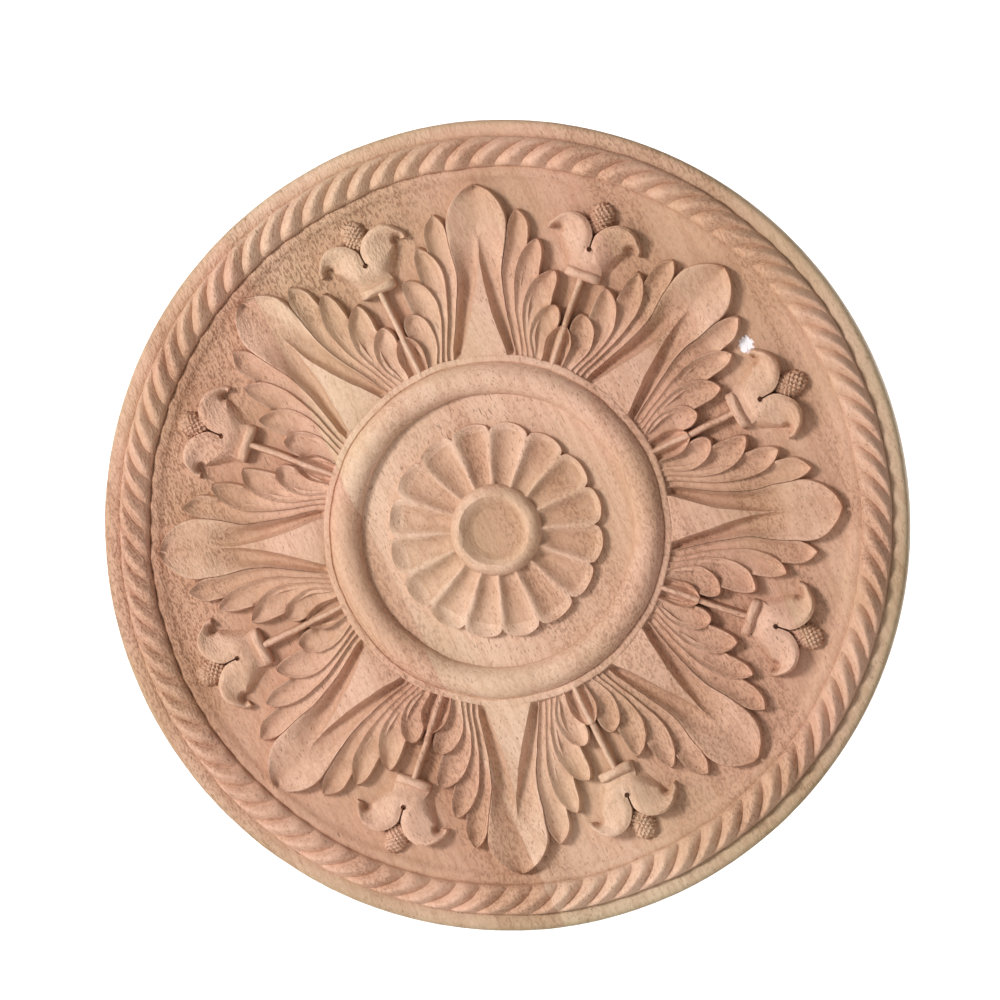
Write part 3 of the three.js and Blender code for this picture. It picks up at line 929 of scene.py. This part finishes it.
def mixed(graph, share, low, high, kind="MIX"):
    """A colour between two, by a share."""
    settings = {"data_type": "RGBA", "blend_type": kind}
    return graph.node("ShaderNodeMix", settings, {"Factor": share, "A": low, "B": high}, "Result")


def noise(graph, place, scale, detail, rough=0.5):
    """A soft random pattern, about 0.5 on average."""
    sockets = {"Vector": place, "Scale": scale, "Detail": detail, "Roughness": rough}
    return graph.node("ShaderNodeTexNoise", {"noise_dimensions": "3D"}, sockets)


def pores(graph, across, depth, along, spacing, length, width, shift):
    """Short dark pores drawn out along the grain: 1 in the middle of a pore."""
    place = vector(graph, across / spacing + shift, depth / spacing, along * (width / length) / spacing)
    sockets = {"Vector": place, "Scale": 1, "Randomness": 1}
    settings = {"feature": "F1", "distance": "EUCLIDEAN"}
    distance = graph.node("ShaderNodeTexVoronoi", settings, sockets, "Distance")
    return 1 - smooth(0.4, 1, distance * (2 * spacing / width))


def by_height(heights, y):
    """0 at the first height above the back and 1 at the second, with a soft change between."""
    return smooth(-heights[0] * MM, -heights[1] * MM, y)


def wood_material():
    """Bare sanded rubberwood, glued up from three planks, with its grain across the rosette, and painted
    shade in its low ground, its hollows and on its ledge.
    """
    material = bpy.data.materials.new("rubberwood")
    material.use_nodes = True
    graph = Graph(material.node_tree)
    shader = material.node_tree.nodes["Principled BSDF"]
    x, y, z = parts(graph, graph.node("ShaderNodeTexCoord", output="Object"))
    along = x * GRAIN[0] + z * GRAIN[1]
    across = x * -GRAIN[1] + z * GRAIN[0]
    radius = (x * x + z * z) ** 0.5
    left = across < GLUE_LINES[0]
    right = across > GLUE_LINES[1]

    # Growth: broad bands, then fine streaks, shifted from plank to plank
    plank = left * 3.1 + right * 7.7
    broad = noise(graph, vector(graph, across + plank, y, along * 0.12), BAND_SCALE, 0)
    streak = noise(graph, vector(graph, across + plank, y, along * 0.04), STREAK_SCALE, 1, 0.6)
    cloud = noise(graph, vector(graph, x, y + plank, z), CLOUD_SCALE, 0)
    pinker = within((across - GLUE_LINES[0]) / (GLUE_LINES[1] - GLUE_LINES[0]))
    color = mixed(graph, pinker, MIDDLE_PALE, MIDDLE_PINK)
    color = mixed(graph, left, color, LEFT_PLANK)
    color = mixed(graph, right, color, RIGHT_PLANK)
    color = mixed(graph, smooth(0.35, 0.7, broad) * 0.7, color, GROWTH_DARK, "MULTIPLY")
    color = mixed(graph, smooth(0.4, 0.72, streak) * 0.8, color, STREAK_DARK, "MULTIPLY")
    color = mixed(graph, smooth(0.42, 0.68, cloud) * 0.7, color, CLOUD_GREEN, "MULTIPLY")

    # The low ground between the carving is darker, partly for its rough torn surface, most on the left, and
    # partly as painted shade in the recess; the hollows get painted shade
    front = by_height(FRONT_HEIGHTS, y)
    carved = (radius > RING_FOOT) * smooth(ROPE_OUTER, ROPE_INNER, radius) * front
    ground = by_height(GROUND_HEIGHTS, y) * carved
    leftwards = smooth(70 * MM, -110 * MM, x)
    color = mixed(graph, ground * blend(0.2, 0.6, leftwards), color, ROUGH_AND_SHADE_DARK, "MULTIPLY")
    hollow = by_height(LEAF_HOLLOW_HEIGHTS, y) * carved
    scoops = by_height(SCOOP_HEIGHTS, y) * (radius < SCOOP_REACH) * front
    dish = by_height(DISH_HEIGHTS, y) * (radius < DISH_REACH) * front
    # Painted shade in the hollows: a little in the leaf channels and lobes, more in the daisy's scoops and
    # the button's dish
    painted_shade = larger(hollow * 0.4, larger(scoops, dish) * 0.85)
    color = mixed(graph, painted_shade, color, ROUGH_AND_SHADE_DARK, "MULTIPLY")

    # Pores: a few long ones, and many small dashes
    open_grain = smooth(0.56, 0.4, cloud)
    sizes = {"spacing": 2.4 * MM, "length": 4.4 * MM, "width": 0.42 * MM}
    long_pores = pores(graph, across, y, along, **sizes, shift=plank)
    dashes = noise(graph, vector(graph, across, y, along * 0.3), DASH_SCALE, 0)
    dashes = smooth(0.66, 0.82, dashes)
    pore = larger(long_pores * (0.45 + open_grain * 0.7), dashes * (0.5 + open_grain * 0.5))
    color = mixed(graph, pore * 0.66, color, PORE_COLOR)

    # Fibres torn up by the tool, in patches and along the rope on the left
    fuzz = noise(graph, vector(graph, across, y, along * 0.5), FIBRE_SCALE, 1, 0.7)
    near_rope = smooth(99 * MM, 117 * MM, radius + (cloud - 0.5) * 0.03)
    by_rope = smooth(-62 * MM, -98 * MM, x - z * 0.4) * near_rope
    torn = larger(by_rope * ground, smooth(0.52, 0.68, broad) * 0.6)
    speck = smooth(0.47, 0.62, fuzz)
    color = mixed(graph, (0.25 + torn * 0.75) * speck * 0.75, color, TORN_DARK, "MULTIPLY")

    # The glue lines, painted shade on the ledge, and the outer rounded edge made greyer and darker all
    # round
    from_seam = smaller(abs(across - GLUE_LINES[0]), abs(across - GLUE_LINES[1]))
    seam = smooth(0.35 * MM, 0, from_seam)
    color = mixed(graph, seam * 0.12, color, PORE_COLOR)
    # Painted shade on the ledge round the rope, in a grey-green tint: none on the upper left, most on the
    # lower right, away from the light
    ledge = smooth(ROPE_OUTER - 1 * MM, ROPE_OUTER + 1 * MM, radius)
    shaded = smooth(-170 * MM, 150 * MM, x * 0.8 - z * 0.6)
    color = mixed(graph, ledge * shaded, color, LEDGE_PAINTED_SHADE, "MULTIPLY")
    # The outer rounded edge, greyer and darker all round on its front
    edge = smooth(DIAMETER / 2 - 2.6 * MM, DIAMETER / 2 - 0.6 * MM, radius)
    edge = edge * smooth(-0.2 * MM, -1 * MM, y)
    color = mixed(graph, edge, color, EDGE_GREY, "MULTIPLY")

    # The white chip on the right
    beside = (x - CHIP_PLACE[0]) / CHIP_HALF
    over = (z - CHIP_PLACE[1]) / (CHIP_HALF * CHIP_TALL)
    from_chip = (beside * beside + over * over) ** 0.5
    chip = smooth(1, 0.8, from_chip + (fuzz - 0.5) * 1.3) * front
    color = mixed(graph, chip, color, CHIP_WHITE)

    # Duller and raised where fibres stand up, and cut in by the long pores
    rough = 0.58 + streak * 0.16 + torn * 0.12 + pore * 0.1
    relief = (0.6 + by_rope * 1.2) * fuzz - long_pores * 1.3
    bump = graph.node("ShaderNodeBump", sockets={"Height": relief, "Strength": 0.7, "Distance": 0.4 * MM})
    graph.feed(shader.inputs["Base Color"], color)
    graph.feed(shader.inputs["Roughness"], rough)
    graph.feed(shader.inputs["Normal"], bump)
    shader.inputs["Specular IOR Level"].default_value = 0.35
    return material


def plain_mesh(name, tree):
    """Runs a tree on an empty mesh and keeps the result as a plain mesh object."""
    holder = bpy.data.objects.new(name + "_holder", bpy.data.meshes.new(name + "_holder"))
    bpy.context.collection.objects.link(holder)
    modifier = holder.modifiers.new("Carving", "NODES")
    modifier.node_group = tree
    evaluated = holder.evaluated_get(bpy.context.evaluated_depsgraph_get())
    mesh = bpy.data.meshes.new_from_object(evaluated)
    holder.modifiers.remove(modifier)
    bpy.data.objects.remove(holder)
    mesh.name = name
    piece = bpy.data.objects.new(name, mesh)
    bpy.context.collection.objects.link(piece)
    return piece


def backdrop():
    """A pale floor that sweeps up into a wall behind the rosette."""
    sweep = BACK_WALL - SWEEP_ROUND
    profile = [(-FLOOR_REACH, -FLOOR_DROP), (sweep, -FLOOR_DROP)]
    for step in range(1, SWEEP_STEPS + 1):
        turn = math.pi / 2 * step / SWEEP_STEPS
        back = sweep + SWEEP_ROUND * math.sin(turn)
        up = -FLOOR_DROP + SWEEP_ROUND * (1 - math.cos(turn))
        profile.append((back, up))
    profile.append((BACK_WALL, FLOOR_REACH))
    points = [(x, y, z) for y, z in profile for x in (-FLOOR_REACH, FLOOR_REACH)]
    faces = [(2 * i, 2 * i + 1, 2 * i + 3, 2 * i + 2) for i in range(len(profile) - 1)]
    mesh = bpy.data.meshes.new("floor")
    mesh.from_pydata(points, [], faces)
    mesh.polygons.foreach_set("use_smooth", [True] * len(faces))
    floor = bpy.data.objects.new("floor", mesh)
    bpy.context.collection.objects.link(floor)
    pale = bpy.data.materials.new("pale_floor")
    pale.use_nodes = True
    shader = pale.node_tree.nodes["Principled BSDF"]
    shader.inputs["Base Color"].default_value = FLOOR_GREY
    shader.inputs["Roughness"].default_value = 0.9
    mesh.materials.append(pale)


def soft_light(name, place, target, size, power):
    """A square lamp at a place, turned to its target."""
    data = bpy.data.lights.new(name, "AREA")
    data.shape = "SQUARE"
    data.size = size
    data.energy = power
    light = bpy.data.objects.new(name, data)
    light.location = place
    light.rotation_mode = "QUATERNION"
    light.rotation_quaternion = (Vector(target) - Vector(place)).to_track_quat("-Z", "Y")
    bpy.context.collection.objects.link(light)


def studio():
    """The sky, the key light and the two lamps on the wall."""
    world = bpy.data.worlds.new("studio")
    bpy.context.scene.world = world
    world.use_nodes = True
    sky = world.node_tree.nodes["Background"]
    sky.inputs["Color"].default_value = (1, 1, 1, 1)
    sky.inputs["Strength"].default_value = SKY_STRENGTH
    soft_light("key", KEY_PLACE, (0, 0, 0), KEY_SIZE, KEY_POWER)
    out, back, up = WALL_PLACE
    soft_light("wall_left", (-out, back, up), (0, BACK_WALL, 0), WALL_SIZE, WALL_POWER)
    soft_light("wall_right", (out, back, up), (0, BACK_WALL, 0), WALL_SIZE, WALL_POWER)
    bpy.context.scene.view_settings.view_transform = "Standard"


def photo_camera():
    """The camera where the photograph was taken from, with the disc at the same place and size."""
    data = bpy.data.cameras.new("camera")
    data.sensor_width = SENSOR
    data.lens = DISC_PIXELS / DIAMETER * DISTANCE * SENSOR / PHOTO_SIDE
    data.shift_x = (PHOTO_SIDE / 2 - DISC_CENTRE[0]) / PHOTO_SIDE
    data.shift_y = (DISC_CENTRE[1] - PHOTO_SIDE / 2) / PHOTO_SIDE
    data.dof.use_dof = False
    camera = bpy.data.objects.new("camera", data)
    level = math.cos(PITCH)
    away = Vector((math.sin(YAW) * level, -math.cos(YAW) * level, math.sin(PITCH)))
    target = Vector((0, -LEDGE_HEIGHT, 0))
    camera.location = target + away * DISTANCE
    camera.rotation_mode = "QUATERNION"
    camera.rotation_quaternion = (-away).to_track_quat("-Z", "Y")
    bpy.context.collection.objects.link(camera)
    bpy.context.scene.camera = camera


wood = wood_material()
rosette = plain_mesh("rosette_carving", rosette_tree(wood))
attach(rosette, "root")
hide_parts("carved_rosette")

backdrop()
studio()
photo_camera()
